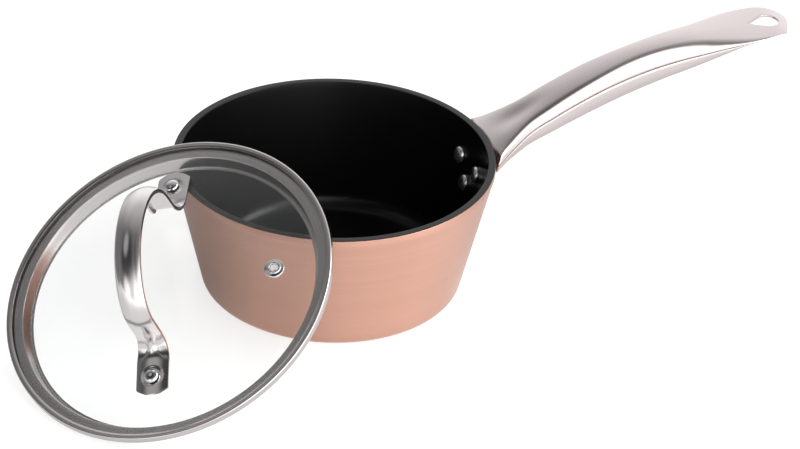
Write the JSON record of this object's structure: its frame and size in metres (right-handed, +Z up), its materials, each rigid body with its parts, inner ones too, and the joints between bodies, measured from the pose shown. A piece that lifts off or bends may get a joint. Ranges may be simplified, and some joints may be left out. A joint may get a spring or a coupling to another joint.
{
  "type": "saucepan with glass lid",
  "caption": "Tapered copper-tone saucepan with a long hollow riveted handle and a domed glass lid with steel band, strap handle and steam vent, leaning on the rim.",
  "frame": {"origin": "centre of the pan's flat base, on the surface the pan stands on", "axes": "+Z up along the pan's axis, +X along the long handle"},
  "size_m": [0.4439, 0.2285, 0.1139],
  "materials": {
    "copper_tone": "copper-tone, satin, brushed around the wall",
    "black_coating": "smooth black nonstick coating",
    "brushed_steel": "satin stainless steel",
    "polished_steel": "polished stainless steel",
    "clear_glass": "clear tempered glass",
    "clear_silicone": "translucent silicone"
  },
  "bodies": {
    "pan": {"pan_body": "copper_tone", "nonstick_lining": "black_coating", "induction_base_plate": "brushed_steel", "handle_flange": "brushed_steel", "handle_top_shell": "brushed_steel", "handle_belly_shell": "brushed_steel", "rivet_upper_left": "polished_steel", "rivet_upper_right": "polished_steel", "rivet_lower": "polished_steel"},
    "lid": {"lid_glass": "clear_glass", "lid_rim_band": "polished_steel", "vent_eyelet": "polished_steel", "lid_handle_strap": "polished_steel", "lid_screw_upper": "polished_steel", "lid_screw_lower": "polished_steel", "top_seal_upper": "clear_silicone", "top_seal_lower": "clear_silicone", "under_seal_upper": "clear_silicone", "under_seal_lower": "clear_silicone", "washer_upper": "brushed_steel", "washer_lower": "brushed_steel", "lid_nut_upper": "brushed_steel", "lid_nut_lower": "brushed_steel"}
  },
  "joints": [
    {"name": "lid_lift", "type": "slide", "parent": "pan", "child": "lid", "axis": [0, 0, 1], "range_m": [0, 0.18]}
  ]
}
